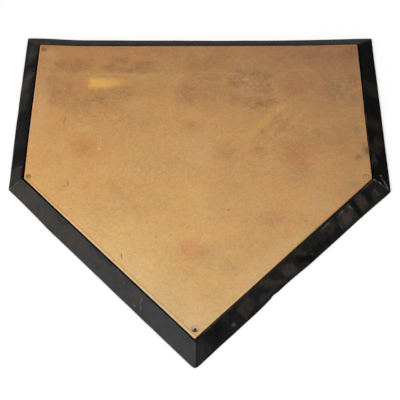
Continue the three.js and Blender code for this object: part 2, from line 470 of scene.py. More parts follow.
# x, y, half width, half length in mm, strength, and turn in degrees if any
slabMarks = {
    "smudge": [
        (-188, 187, 9, 8, 0.9), (-170, 185, 34, 18, 0.85), (-103, 194, 24, 12, 0.85),
        (-117, 180, 18, 13, 0.75), (-72, 183, 28, 18, 1.0), (-94, 179, 24, 11, 0.75),
        (2, 188, 34, 22, 0.5), (-196, 157, 12, 15, 0.75), (-180, 137, 34, 36, 0.8),
        (-136, 129, 56, 30, 0.9, -4), (-97, 139, 30, 22, 0.75), (-152, 116, 60, 22, 0.4),
        (-66, 139, 32, 14, 0.35), (-13, 138, 25, 32, 0.8), (20, 135, 44, 32, 0.45), (14, 163, 38, 8, 0.5),
        (51, 157, 21, 20, 0.7), (68, 169, 44, 15, 0.6), (73, 150, 34, 24, 0.5), (49, 126, 22, 22, 0.5),
        (78, 121, 32, 18, 0.75), (180, 143, 34, 32, 0.55, -30), (201, 130, 13, 20, 0.35),
        (174, 62, 40, 32, 0.4), (108, 86, 24, 30, 0.45, 20), (77, 48, 18, 16, 0.35),
        (114, 42, 20, 28, 0.35), (-150, 57, 22, 22, 0.35), (36, 42, 34, 22, 0.4), (28, 10, 30, 24, 0.2),
        (128, 10, 28, 28, 0.4), (-110, 108, 34, 16, 0.4), (0, -130, 20, 14, 0.35),
        (204, 162, 12, 14, 0.5), (40, 165, 22, 10, 0.4), (195, 182, 18, 10, 0.45),
        (116, 152, 16, 18, 0.3), (8, 171, 26, 9, 0.4), (-105, -28, 80, 46, 0.45),
        (-74, -38, 24, 24, 0.25), (90, -55, 30, 15, 0.5), (40, -121, 18, 16, 0.5),
        (14, -108, 30, 26, 0.4, -40), (-8, 84, 17, 15, 0.45), (-96, 88, 56, 30, 0.25),
        (-166, -7, 14, 12, 0.4), (145, 204, 34, 12, 0.45), (192, 200, 30, 18, 0.25),
    ],
    "grime": [
        (213, 48, 8, 16, 0.8), (203, 36, 9, 8, 0.75), (204, 78, 7, 12, 0.35), (206, 206, 10, 8, 0.35),
        (196, -5, 12, 8, 0.4, 40),
    ],
    "rust": [
        (131, 147, 34, 36, 0.65), (127, 40, 36, 36, 0.85), (-141, 47, 36, 34, 0.65),
        (-8, -97, 28, 28, 0.9), (-155, 156, 12, 18, 0.6), (-60, 209, 70, 9, 0.35),
    ],
    "pale": [
        (-206, 115, 18, 115, 0.5), (-76, -126, 120, 44, 0.75, -46), (0, -186, 38, 40, 0.9),
        (-36, -168, 26, 24, 0.5), (120, -84, 34, 16, 0.45, 45), (72, -130, 100, 22, 0.75, 45),
        (3, 48, 36, 44, 0.45), (-73, 18, 2, 20, 0.5), (-56, 14, 2, 18, 0.5, 4),
        (-41, 16, 1.8, 16, 0.4, -5), (-118, 22, 2, 14, 0.4, 10), (-110, 170, 80, 3.5, 0.45),
        (14, 173, 34, 3, 0.3), (140, 177, 30, 3, 0.25, -4), (183, 158, 26, 2.5, 0.3),
        (-142, 80, 20, 6, 0.6, 12), (-33, 163, 26, 18, 0.35), (-73, 167, 30, 12, 0.35),
        (150, -35, 40, 30, 0.35), (-200, 205, 18, 14, 0.5), (52, 170, 7, 1.8, 0.8, -20),
        (45, 171, 6, 1.6, 0.7, -50), (74, 127, 7, 1.6, 0.9, 40), (64, 113, 8, 1.8, 0.8, 20),
        (69, 108, 9, 1.8, 0.8, -8),
    ],
    "streak": [
        (84, 89, 52, 10, 0.8, 48), (106, 113, 22, 9, 0.6, 28), (104, 88, 42, 6, 0.45, 52),
        (112, 77, 46, 6, 0.4, 50), (134, 103, 16, 6, 0.5, 56), (-63, -8, 14, 6, 0.5),
        (-186, 95, 12, 28, 0.35), (114, -15, 26, 2.5, 0.4, -62), (112, -13, 22, 2.5, 0.4, 42),
    ],
    "scribble": [
        (44, 166, 34, 18, 0.9, -10), (72, 162, 38, 30, 0.8), (88, 140, 34, 36, 0.8),
        (78, 116, 30, 22, 0.9, 20), (105, 86, 30, 38, 0.6), (180, 142, 44, 40, 0.5),
        (-28, 24, 90, 40, 0.5), (-110, 110, 90, 40, 0.4), (110, 70, 60, 60, 0.5),
    ],
    "cool": [
        (-40, -160, 34, 26, 1.0, 45), (192, 22, 22, 24, 1.0), (188, -10, 20, 20, 1.2, 45),
        (-66, 21, 38, 26, 1.0), (197, 92, 18, 22, 0.8), (-25, -176, 26, 18, 0.8),
        (-27, -136, 24, 20, 0.6), (-205, 6, 14, 14, 0.7), (132, -72, 26, 16, 0.8, 45),
        (-24, 30, 28, 26, 0.9), (-60, -78, 26, 26, 0.8),
    ],
    "warm": [
        (79, 116, 24, 20, 1.0), (112, 101, 24, 24, 0.8), (78, 56, 26, 22, 0.7), (-99, 201, 34, 14, 0.9),
        (-211, 112, 9, 60, 1.3), (70, 215, 44, 8, 0.7), (136, 215, 36, 8, 0.7), (-120, -18, 30, 24, 0.7),
    ],
    "knot": [
        (49, 152, 5, 6, 1.0), (51, 148, 6, 3, 0.9), (42, 162, 5, 4, 0.6), (36, 170, 5, 5, 0.6),
        (77, 173, 9, 7, 0.7), (95, 165, 9, 4, 0.8, 20), (92, 150, 4, 4, 0.9), (94, 140, 9, 7, 0.5),
        (69, 131, 6, 4, 0.6, 40), (80, 121, 9, 5, 0.9), (72, 114, 7, 3, 0.9, -20),
        (96, 125, 12, 3, 0.6, -15), (47, 127, 10, 10, 0.4), (110, 80, 6, 8, 0.6, 30), (84, 75, 5, 8, 0.7),
        (77, 50, 7, 5, 0.6), (44, 46, 8, 4, 0.6), (196, 157, 10, 4, 0.6, -30), (182, 140, 6, 10, 0.5, 30),
        (202, 78, 4, 5, 0.5),
    ],
    "nick": [
        (-123, 60, 0.6, 11, 0.35), (-124, 49, 2.2, 1.1, 0.6, 25),
    ],
    "scar": [
        (-172, 95, 0.9, 9, 0.7, -8), (-160, -3, 1.0, 5, 0.9, 10), (-164, -8, 2.4, 1.2, 0.5, 20),
        (-88, -106, 1.1, 6, 0.8, 8), (-48, -80, 1.2, 2.0, 0.5), (39, -42, 2.2, 1.3, 0.9),
        (16, -55, 1.5, 1.5, 0.7), (132, -58, 2.4, 1.2, 0.8, -30), (-6, 85, 1.4, 2.0, 0.5),
        (-29, 139, 1.2, 1.6, 0.7), (86, 10, 1.4, 1.4, 0.6), (216, 45, 5.5, 9, 0.75),
    ],
}


# How the clay's depth and warmth change over the slab, and the length that counts as 1; the depth trend is
# partly clay and partly painted light and shade, lighter towards the key light at the point and the left
# Weights of 1, over, up, over squared, over times up, up squared
slabTrends = {
    "reach": 216.0,
    "depth": (0.731, -0.207, -0.325, -0.107, 0.081, -0.153),
    "warmth": (0.66, 0.0, 0.266, 0.0, -0.397, -0.334),
}
# Noise in the stains: size in mm, seed, detail, roughness
slabClouds = {
    "drift": (46.0, 2, 3.0, 0.55),
    "mottle": (13.0, 3, 4.0, 0.6),
    "speckle": (4.2, 4, 3.0, 0.65),
    "grain": (1.7, 5, 2.0, 0.6),
    "ruddy": (34.0, 6, 4.0, 0.6),
    "warmth": (28.0, 7, 4.0, 0.58),
    "broken": (2.6, 9, 4.0, 0.75),
    "torn": (12.0, 24, 6.0, 0.72),
}
# How far outlines wander: size and reach in mm, seed, detail
slabWander = {
    "loose": (22.0, 16.0, 1, 3.0),
    "pale": (9.0, 5.0, 8, 3.0),
    "smudge": (13.0, 17.0, 25, 5.0),
    "grime": (8.0, 7.0, 23, 3.0),
    "ragged": (8.0, 10.0, 10, 4.0),
    "streak": (6.0, 3.0, 11, 3.0),
    "knot": (7.0, 6.0, 28, 4.0),
    "scar": (3.0, 2.0, 22, 3.0),
}
# The yellow patch in mm: where its ends fade, its middle, half height and taper, and the glow round it
goldPatch = {
    "leftEnd": (-149.0, -139.0),
    "rightEnd": (-82.0, -134.0),
    "start": -145.0,
    "middle": 155.5,
    "halfHeight": 14.0,
    "taper": 0.1,
    "glow": [(-140, 146, 22, 20, 0.9), (-108, 157, 34, 12, 0.5)],
}
# Fine strokes: length in mm, and the direction and seed of each course; curls: size in mm and seed
slabStrokes = {
    "pale": (20.0, ((8, 12), (38, 13), (66, 14), (97, 15), (131, 16), (158, 17))),
    "dark": (8.0, ((25, 18), (80, 19), (118, 20), (-30, 21))),
    "darkCurls": (12.0, 26),
    "paleCurls": (14.0, 27),
}
# Lines beside the slab's edge: from where to where they come up, in mm beyond it
slabEdge = {
    "rearLeftWornAndLit": (-1.7, -0.8),
    "rearRightWornAndLit": (-1.9, -0.9),
    "leftWornAndLit": (-1.8, -0.8),
    "lineStart": (-4.6, -3.0),
    "lineEnd": (-1.6, -2.6),
    "rim": (-0.6, 0.1),
    "hole": (-3.0, -2.0),
    "wallHeight": (15.0, 14.5),
    "ring": 5.6,
    "funnel": 4.4,
}


def trend(over, up, weights):
    terms = (over, up, over * over, over * up, up * up)
    return sum((term * weight for term, weight in zip(terms, weights[1:])), weights[0])


def slabRubber():
    material, wire = newFinish("stained_slab_rubber")
    look = tints(slabFinish)
    place = placeInMm(wire)
    x, y, z = split(place)
    loose = wander(place, *slabWander["loose"])

    def marks(name, core=0.0):
        return spots(wander(place, *slabWander[name]), slabMarks[name], core)

    # clay, palest towards the point and the left, deepest at the front right: partly clay and partly
    # painted shade away from the key light
    over = x / slabTrends["reach"]
    up = (y - shoulderLine / mm) / slabTrends["reach"]
    depth = trend(over, up, slabTrends["depth"])
    drift = cloud(place, *slabClouds["drift"])
    mottle = cloud(loose, *slabClouds["mottle"])
    speckle = cloud(place, *slabClouds["speckle"])
    grain = cloud(place, *slabClouds["grain"])
    depth = depth + sway(drift, 0.2) + sway(mottle, 0.15) + sway(speckle, 0.1)
    stops = [(0.0, look["deepClay"]), (0.75, look["midClay"]), (1.0, look["paleClay"])]
    paint = Paint(wire.node("ValToRGB", {"stops": stops}, {0: depth}), look, slabStains)

    # patches that lean to red or olive, and to warm or cool, and grit
    ruddy = ease(cloud(loose, *slabClouds["ruddy"]), 0.27, 0.73)
    paint.tone(ruddy, "olive", "reddish")
    warmth = trend(over, up, slabTrends["warmth"]) + sway(cloud(loose, *slabClouds["warmth"]), 0.98)
    warmth = warmth + spots(loose, slabMarks["warm"]) * 0.36
    warmth = warmth - spots(after(loose, warmth), slabMarks["cool"]) * 0.36
    paint.tone(warmth, "cool", "warm")
    grit = noiseMiddle + sway(speckle, 0.75) + sway(grain, 1.5)
    paint.tone(grit, "darkGrit", "paleGrit")

    # pale wiped places, rust, and smudges broken up by two sizes of noise
    paint.cover("pale", marks("pale") * (0.2 + mottle * 0.4))
    paint.stain("rust", spots(loose, slabMarks["rust"]))
    broken = ease(cloud(place, *slabClouds["broken"]), 0.36, 0.62)
    torn = ease(cloud(place, *slabClouds["torn"]), 0.34, 0.62)
    smudge = marks("smudge", 0.2) * (0.33 + torn * 0.72) * (0.55 + broken * 0.65)
    paint.stain("smudge", smudge)
    paint.stain("grime", marks("grime"))

    # the yellow patch: square at its left end, drawn out to the right
    ragged = wander(place, *slabWander["ragged"])
    patchX, patchY = split(ragged)[:2]
    narrow = goldPatch["halfHeight"] - (patchX - goldPatch["start"]) * goldPatch["taper"]
    gold = ease(patchX, *goldPatch["leftEnd"]) * ease(patchX, *goldPatch["rightEnd"])
    gold = gold * ease(abs(patchY - goldPatch["middle"]) / narrow, 1.0, 0.25) * (0.7 + mottle * 0.5)
    paint.cover("glow", spots(ragged, goldPatch["glow"]) * 0.5)
    paint.cover("gold", gold * 0.9)
    paint.cover("streak", marks("streak") * (0.3 + broken * 0.4))

    # fine strokes left by cleats and sweeping, some pale and some dark
    paleStrokes = strokeNet(place, *slabStrokes["pale"])
    scribble = spots(loose, slabMarks["scribble"])
    paint.cover("pale", paleStrokes * (0.13 + scribble * 0.3))
    darkStrokes = strokeNet(place, *slabStrokes["dark"]) * (0.5 + scribble * 0.9)
    darkStrokes = highest(darkStrokes, ease(grain, 0.54, 0.76) * (0.35 + smudge * 0.7))
    curls = curlyLines(after(place, darkStrokes), *slabStrokes["darkCurls"]) * (0.12 + scribble * 0.75)
    paint.stain("smudge", highest(darkStrokes, curls))
    curls = curlyLines(after(place, curls), *slabStrokes["paleCurls"]) * (0.06 + scribble * 0.1)
    paint.cover("pale", curls)

    # dark knots, two pale nicks and scars
    knots = marks("knot", 0.2) * (0.25 + torn * 0.35 + broken * 0.4)
    paint.stain("knot", knots * 0.8)
    paint.cover("wornEdge", spots(place, slabMarks["nick"], 0.5))
    scar = marks("scar", 0.3)
    paint.stain("scar", scar)

    # the edge is rubbed pale on both rear sides and a little on the left, partly wear and partly a painted
    # highlight on the rounding that faces the key light, with a clay line at the rear left
    sides = sideWires(x, y)
    edge = reduce(highest, sides.values())
    rough = sway(speckle, 1.6)
    rearLeft = sides["rearLeft"] + rough
    left = sides["left"] + rough
    rearRight = sides["rearRight"] + rough
    wornLitEdge = ease(rearLeft, *slabEdge["rearLeftWornAndLit"]) * ease(x - y, -250.0, -60.0) * 0.55
    wornLitEdge = highest(wornLitEdge, ease(rearRight, *slabEdge["rearRightWornAndLit"]) * ease(y, -70.0, -170.0) * 0.3)
    wornLitEdge = highest(wornLitEdge, ease(left, *slabEdge["leftWornAndLit"]) * 0.2)
    line = ease(rearLeft, *slabEdge["lineStart"]) * ease(rearLeft, *slabEdge["lineEnd"]) * 0.4
    paint.cover("edgeLine", line)
    paint.cover("wornEdge", wornLitEdge)
    paint.cover("edgeLine", ease(edge, *slabEdge["rim"]) * 0.6)
    # the slab's walls below its top: painted near black as painted shade in the groove, except where clay
    # is packed at the rear right and inside the screw holes
    packed = ease(sides["rearRight"] - edge, *ownSide["groove"])
    wall = blendColour(packed, look["wallShade"], look["wallClay"])
    wall = blendColour(ease(edge, *slabEdge["hole"]), look["holeClay"], wall)
    paint.cover(wall, ease(z + sway(speckle, 0.8), *slabEdge["wallHeight"]))

    # the hole at the point: a clay ring, and a funnel painted dark on its near side as painted shade
    holeLow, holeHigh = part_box("corner_screw_point")
    hole = (holeLow + holeHigh) / (2 * mm)
    ring = spot(place, hole.x, hole.y, slabEdge["ring"], slabEdge["ring"], 0, 0.8)
    paint.cover("edgeLine", ring * 0.45)
    funnel = spot(place, hole.x, hole.y, slabEdge["funnel"], slabEdge["funnel"], 0, 0.92)
    nearShade = ease(y - hole.y + sway(speckle, 1.0), 0.0, -2.4)
    paint.cover(blendColour(nearShade, look["holeClay"], look["holeShade"]), funnel)

    gloss = 0.66 + sway(mottle, 0.3) + smudge * 0.08 - gold * 0.08
    relief = grain * 0.05 + speckle * 0.08 - darkStrokes * 0.05 - scar * 0.25
    surface(wire, paint.colour, gloss, relief, 0.2)
    return material


# Long thin strokes in several directions, each in its own patches
def strokeNet(place, length, courses):
    def strokes(here, turn, seed):
        bent = wander(here, size=30.0, reach=9.0, seed=seed, detail=1.0)
        stroke = cloud(bent, length, seed + 0.5, detail=2.0, roughness=0.5, along=0.9, turn=turn)
        stroke = ease(stroke, 0.56, 0.7)
        where = ease(cloud(here, size=40.0, seed=seed + 0.25, detail=2.0), 0.4, 0.66)
        return stroke * where

    return strongest(place, strokes, courses)


# Thin lines that curl about
def curlyLines(place, size, seed):
    winding = abs(cloud(place, size, seed, detail=3.0, roughness=0.6) - noiseMiddle)
    where = cloud(place, size=30.0, seed=seed + 0.5, detail=2.0)
    return ease(winding, 0.06, 0.0) * ease(where, 0.42, 0.6)


# Border: black rubber under dust, each side painted paler or darker partly by its dust and partly as
# painted light and sheen
borderFinish = {
    "bare": "#060605",
    "dustAndSideLight": "#464544",
    "clay": "#4a423b",
    "wiped": "#3d3833",
    "brown": "#4d341d",
    "scuff": "#9a978f",
    "groove": "#0c0806",
    # painted shade in the groove
    "ribbon": "#6f5f44",
}
borderStains = {
    "brownish": (1.0, 0.89, 0.76, 1.0),
    "violetSheen": (0.96, 0.98, 1.09, 1.0),
}
# Noise in the dust: size in mm, seed, detail, roughness, size across and turn of long marks
borderClouds = {
    "fine": (5.0, 1, 5.0, 0.7),
    "drift": (30.0, 3, 4.0),
    "brush": (4.6, 9, 5.0, 0.6, 17.0, -24),
    "cloudy": (12.0, 5, 5.0, 0.65),
    "brownish": (34.0, 9, 3.0, 0.55, 18.0, -45),
}
# How far outlines wander: size and reach in mm, seed
borderWander = {
    "drift": (30.0, 18.0, 2),
    "loose": (9.0, 11.0, 4),
    "brush": (24.0, 26.0, 8),
    "wiped": (6.0, 4.0, 6),
    "scuff": (4.0, 3.0, 7),
}
# How pale each side is painted: partly dust, partly painted light and sheen, palest on the rear left that
# faces the key light and on the front seen at a glancing angle, darkest on the right
borderDustAndSideLight = {"front": 0.64, "right": 0.03, "rearRight": 0.20, "rearLeft": 0.90, "left": 0.30}
# How much of it lies in brush marks
borderBrush = {"front": 0.3, "right": 0.5, "rearRight": 0.5, "rearLeft": 0.0, "left": 0.4}
# The corner where each side starts, in the order of cornerNames, and its direction
sideStarts = {
    "front": (1, (1, 0)),
    "right": (0, (0, -1)),
    "rearRight": (4, (-slant, -slant)),
    "rearLeft": (2, (slant, -slant)),
    "left": (1, (0, -1)),
}
# Distance along a side and beyond the slab, half length, half width in mm, strength, and turn if any
borderMarks = {
    "clay": {
        "front": [(-4, 7, 24, 8, 0.5), (110, 12, 60, 5, 0.2)],
        "right": [
            (69, 13, 20, 16, 0.25, 70), (128, 12, 18, 16, 0.2, 80), (160, 14, 22, 9, 0.35, -15),
            (168, 7, 14, 8, 0.3, 60), (186, 7, 14, 4, 0.5),
        ],
        "rearRight": [
            (32, 14, 11, 13, 0.75), (61, 14, 20, 11, 0.8), (90, 11, 20, 8, 0.4),
            (137, 9, 14, 5, 0.4, -35), (163, 13, 17, 9, 0.8, -30), (190, 11, 26, 5, 0.6, -28),
            (205, 17, 22, 4, 0.4),
        ],
        "rearLeft": [(20, 12, 60, 14, 0.35), (108, 12, 30, 10, 0.75, 8)],
        "left": [
            (209, 15, 16, 12, 0.5), (8, 10, 26, 12, 0.7), (56, 14, 24, 10, 0.8, -10),
            (67, 18, 18, 6, 0.9), (90, 14, 30, 9, 0.35),
        ],
    },
    "wiped": {
        "rearRight": [(234, 12, 13, 8, 0.6, 12), (310, 14, 15, 9, 0.45, 10), (9, 17, 8, 7, 0.4, 12)],
        "left": [(208, 14, 16, 10, 0.9, 8)],
    },
    "bare": {
        "right": [(104, 12, 7, 14, 0.9, -48), (153, 6, 9, 6, 0.7)],
        "rearRight": [
            (19, 12, 8, 12, 0.5), (43, 13, 6, 14, 0.7), (138, 16, 18, 6, 0.8, -25), (108, 17, 22, 6, 0.5),
            (280, 12, 18, 14, 0.5),
        ],
        "left": [(30, 11, 9, 12, 0.6, 30), (120, 12, 24, 12, 0.5), (178, 10, 16, 12, 0.6)],
        "rearLeft": [(150, 4, 30, 3, 0.35), (78, 5, 20, 4, 0.25)],
    },
    "scuff": {
        "rearRight": [
            (48.5, 8, 1.3, 5.5, 0.9, 12), (62, 6.2, 14, 1.4, 0.4, 4), (88, 5.2, 15, 1.3, 0.5),
            (74, 17, 1.4, 5, 0.45, 18), (7, 15, 1.6, 6, 0.4, 10), (259, 16, 4.5, 2.6, 0.6),
            (127, 17, 1.6, 1.4, 0.5), (9, 3, 14, 1.0, 0.55),
        ],
        "rearLeft": [
            (226, 10, 1.2, 5.5, 0.8, 24), (231, 15, 1.0, 4.0, 0.6, 30), (222, 17.5, 3.4, 1.8, 0.5),
            (195, 8.2, 1.2, 1.2, 0.6), (270, 2.8, 9, 0.8, 0.6),
        ],
        "right": [(193, 3.6, 8, 0.8, 0.45)],
        "left": [(46, 3.6, 1.6, 1.2, 0.5), (197, 5, 1.4, 3.4, 0.5)],
    },
}
# Pairs of sides whose hip was rubbed, and how much; the pale hip line is partly wear and partly a painted
# highlight on the rounded hip
hipWearAndHighlights = [("left", "rearLeft", 0.6), ("rearLeft", "rearRight", 0.22), ("rearRight", "right", 0.15)]
# A stain in the groove at the right, and scuffs over the right shoulder with a painted highlight along a
# crease there, as the slab's marks
grooveMarks = [(217, 36, 8, 26, 1.0)]
cornerScuffsAndCreaseHighlight = [
    (220, 2.2, 6.0, 1.0, 0.7, -25), (227.6, 0.2, 3.2, 1.5, 1.0, -40), (234.0, 3.0, 10.5, 1.4, 0.8, -59),
    (229.3, 11.5, 3.4, 1.2, 0.6, 15), (237.0, -3.2, 3.0, 1.6, 1.0, -50),
]


# A place along a side and beyond the slab, and the side's heading in degrees
def onPlate(side, along, beyond):
    start, (runX, runY) = sideStarts[side]
    corner = plateCorners(0)[start]
    normal = plateSides[side][0]
    x = corner[0] / mm + runX * along + normal.x * beyond
    y = corner[1] / mm + runY * along + normal.y * beyond
    return x, y, math.degrees(math.atan2(runY, runX))


# A four-sided patch with soft edges
def panel(place, x, y, across, along, turn, soft):
    local = localPlace(place, (x, y, 0), turn, (across, along, markDepth))
    localX, localY = split(local)[:2]
    return ease(abs(localX), 1.0, 1.0 - soft) * ease(abs(localY), 1.0, 1.0 - soft)


# The strongest of the marks of one kind, each kept to its own side of the border
def borderSpots(place, kind, onSide, soft):
    def mark(here, side, along, beyond, length, width, strength, turn=0.0):
        x, y, heading = onPlate(side, along, beyond)
        return panel(here, x, y, length, width, heading + turn, soft) * onSide[side] * strength

    marks = borderMarks[kind]
    return strongest(place, mark, [(side, *each) for side in marks for each in marks[side]])


def borderRubber():
    material, wire = newFinish("dusty_border_rubber")
    look = tints(borderFinish)
    place = placeInMm(wire)
    x, y = split(place)[:2]
    sides = sideWires(x, y)
    edge = reduce(highest, sides.values())
    onSide = {name: ease(side - edge, *ownSide["border"]) for name, side in sides.items()}
    fine = cloud(place, *borderClouds["fine"])
    drift = cloud(wander(place, *borderWander["drift"]), *borderClouds["drift"])
    loose = wander(place, *borderWander["loose"])

    # dust and painted light, with brush marks that run across each side, from the crest to the foot
    dustAndSideLight = 0.0
    along = 0.0
    brushed = 0.0
    share = sum(onSide.values(), 0.0)
    for name, amount in borderDustAndSideLight.items():
        runX, runY = sideStarts[name][1]
        mine = onSide[name] / share
        dustAndSideLight = dustAndSideLight + mine * amount
        along = along + mine * (x * runX + y * runY)
        brushed = brushed + mine * borderBrush[name]
    strip = wire.node("CombineXYZ", None, {0: along, 1: edge})
    brush = ease(cloud(wander(strip, *borderWander["brush"]), *borderClouds["brush"]), 0.34, 0.66)
    cloudy = ease(cloud(loose, *borderClouds["cloudy"]), 0.3, 0.65)
    lying = 0.54 + drift * 0.66 + cloudy * 0.22 + (brush - noiseMiddle) * brushed
    dustAndSideLight = dustAndSideLight * lying + sway(fine, 0.06)
    dustAndSideLight = dustAndSideLight * (1 - ease(edge, 15.0, 2.0) * onSide["left"] * 0.5)
    paint = Paint(blendColour(dustAndSideLight, look["bare"], look["dustAndSideLight"]), look, borderStains)
    brownish = ease(edge, 18.0, 3.0) * onSide["front"]
    patches = ease(cloud(place, *borderClouds["brownish"]), 0.45, 0.62)
    brownish = highest(brownish, patches * onSide["rearLeft"] * 0.4)
    paint.stain("brownish", brownish)
    # a bluish tint on both near sides towards the point: painted sheen
    violetSheen = ease(x * 0.7 - y * 0.7, -40.0, 110.0) * onSide["rearLeft"]
    violetSheen = highest(violetSheen, ease(-y, 110.0, 180.0) * onSide["rearRight"])
    paint.stain("violetSheen", violetSheen * 0.9)

    # clay, wiped and bare patches, and scuffs
    clay = borderSpots(loose, "clay", onSide, 0.8) * (0.3 + cloudy * 0.5 + brush * 0.4)
    paint.cover("clay", clay * 0.9)
    wiped = borderSpots(wander(place, *borderWander["wiped"]), "wiped", onSide, 0.3)
    paint.cover("wiped", wiped * (0.6 + brush * 0.4))
    paint.cover("bare", borderSpots(loose, "bare", onSide, 0.7) * 0.85)
    bent = wander(place, *borderWander["scuff"])
    scuff = borderSpots(bent, "scuff", onSide, 0.9)
    scuff = scuff * (0.1 + ease(fine, 0.35, 0.65) * 0.55)
    # scuffs at the right shoulder, and the painted highlight along its crease
    scuff = highest(scuff, spots(after(bent, scuff), cornerScuffsAndCreaseHighlight) * (0.2 + fine * 0.7))
    paint.cover("scuff", scuff)

    # hips, painted as a thin pale line: partly wear where they were rubbed, partly a painted highlight on
    # the rounding
    hips = []
    for first, second, strength in hipWearAndHighlights:
        ridge = edge - lowest(sides[first], sides[second])
        mark = ease(ridge + sway(fine, 1.6), 1.0, 0.1) * strength * ease(drift, 0.3, 0.62)
        hips.append(mark * ease(edge, 2.4, 3.8))
    paint.cover("scuff", reduce(highest, hips) * 0.8)

    # the groove, painted near black as painted shade, with clay in it at the rear right and a stain at the
    # right, and the crest beside it, rubbed pale and partly painted highlight
    inner = ease(edge + sway(fine, 0.8), 2.6, 1.7)
    stain = spots(place, grooveMarks)
    packed = ease(sides["rearRight"] - edge, *ownSide["groove"]) * ease(y, -210.0, -190.0)
    packed = highest(packed * 0.6, stain * 0.8)
    paint.cover(blendColour(packed, look["groove"], look["brown"]), inner)
    crest = ease(edge, 1.2, 1.6) * ease(edge, 2.6, 1.9) * ease(fine, 0.4, 0.6)
    ribbon = crest * onSide["rearRight"] * ease(y, -90.0, -180.0) * ease(y, -208.0, -198.0)
    paint.cover("ribbon", ribbon * 0.5)
    # the crest at the right, painted pale: partly rubbed wear and partly a painted highlight on its edge
    rubbedLitCrest = crest * onSide["right"] * ease(y, 160.0, 90.0)
    paint.cover("scuff", rubbedLitCrest * 0.4)

    rough = 0.62 + dustAndSideLight * 0.15 + sway(fine, 0.25)
    relief = fine * 0.06 + drift * 0.1
    surface(wire, paint.colour, rough, relief, 0.015)
    return material


# Screws and bolts: plated steel gone brown, with clay on the heads that lie flush
steelFinish = {
    "dark": "#4a2f1d",
    "rust": "#7d5230",
    "pit": "#2b1c12",
    "coatHeight": (12.6, 13.6),
    "coatRadius": 3.0,
}
# Noise in the steel: size in mm, seed, detail, roughness; and how far the coat's edge wanders
steelClouds = {
    "rust": (1.6, 1, 6.0, 0.7),
    "pits": (0.5, 2, 4.0, 0.7),
    "spangle": (2.2, 1, 5.0, 0.7),
    "bloom": (4.0, 2, 6.0, 0.7),
}
coatWander = (2.4, 1.4, 3)
# Coat on the head, the ring at its rim, and how far the head is sunk in mm; the sunk head at the point is
# coated dark as painted shade at the bottom of its hole
screwCoats = {
    "front_right": ("#a07a54", "#86633f", 0.0),
    "front_left": ("#a67c4d", "#84603a", 0.0),
    "left_shoulder": ("#bd9356", "#a47b45", 0.0),
    "point": ("#3c322f", "#6e4f3a", 2.0),
    "right_shoulder": ("#cb9d6a", "#8f693f", 0.0),
    "none": ("#5a3c27", "#5a3c27", 0.0),
}


def rustedSteel(kind, middle=(0.0, 0.0)):
    material, wire = newFinish("rusted_steel_" + kind)
    look = steelFinish
    place = placeInMm(wire)
    z = split(place)[2]
    bloom = cloud(place, *steelClouds["rust"])
    pits = cloud(place, *steelClouds["pits"])
    colour = blendColour(ease(bloom, 0.35, 0.65), tint(look["dark"]), tint(look["rust"]))
    colour = blendColour(ease(pits, 0.55, 0.75), colour, tint(look["pit"]))
    # the point's dark head coat is painted shade in its hole
    head, rim, sunk = screwCoats[kind]
    radius = look["coatRadius"]
    disc = spot(wander(place, *coatWander), middle[0] / mm, middle[1] / mm, radius, radius, 0, 0.7)
    coated = ease(z + sunk + sway(bloom, 0.5), *look["coatHeight"]) * (0.65 + bloom * 0.5)
    colour = blendColour(coated, colour, blendColour(disc, tint(rim), tint(head)))
    rough = 0.65 + sway(bloom, 0.4)
    relief = bloom * 0.08 - pits * 0.05
    surface(wire, colour, rough, relief, 0.2, 0.35 - coated * 0.3)
    return material


nutFinish = {"dull": "#97968f", "bright": "#bdbcb4", "rust": "#7a4b2b"}


def zincSteel():
    material, wire = newFinish("dull_nut_steel")
    look = tints(nutFinish)
    place = placeInMm(wire)
    spangle = cloud(place, *steelClouds["spangle"])
    bloom = cloud(place, *steelClouds["bloom"])
    colour = blendColour(ease(spangle, 0.3, 0.7), look["dull"], look["bright"])
    rusty = ease(bloom, 0.56, 0.7)
    colour = blendColour(rusty * 0.8, colour, look["rust"])
    surface(wire, colour, 0.4 + rusty * 0.35, bloom * 0.05, metal=1 - rusty * 0.8)
    return material


# Board: rotary-cut plywood, with its grain along x
boardFinish = {"pale": "#d2b07c", "late": "#a97f4c", "fibre": "#7f5a35", "damp": "#6b5138"}
# Size along the grain in mm, seed, detail, roughness, size across the grain
boardClouds = {
    "figure": (320.0, 2, 5.0, 0.55, 9.0),
    "fibre": (26.0, 3, 4.0, 0.65, 0.7),
    "damp": (70.0, 4, 5.0),
}
boardWander = (90.0, 30.0, 1)


def plywoodBoard():
    material, wire = newFinish("plywood_board")
    look = tints(boardFinish)
    place = placeInMm(wire)
    figure = cloud(wander(place, *boardWander), *boardClouds["figure"])
    fibre = cloud(place, *boardClouds["fibre"])
    colour = blendColour(ease(figure, 0.3, 0.7), look["pale"], look["late"])
    colour = blendColour(ease(fibre, 0.55, 0.8) * 0.6, colour, look["fibre"])
    damp = ease(cloud(place, *boardClouds["damp"]), 0.5, 0.7)
    colour = blendColour(damp * 0.4, colour, look["damp"])
    surface(wire, colour, 0.75 + sway(fibre, 0.2), fibre * 0.15 + figure * 0.1)
    return material


finishes = {
    "slab": slabRubber(),
    "border": borderRubber(),
    "bolt": rustedSteel("none"),
    "nut": zincSteel(),
    "board": plywoodBoard(),
}
print("finishes made:", ", ".join(finishes))


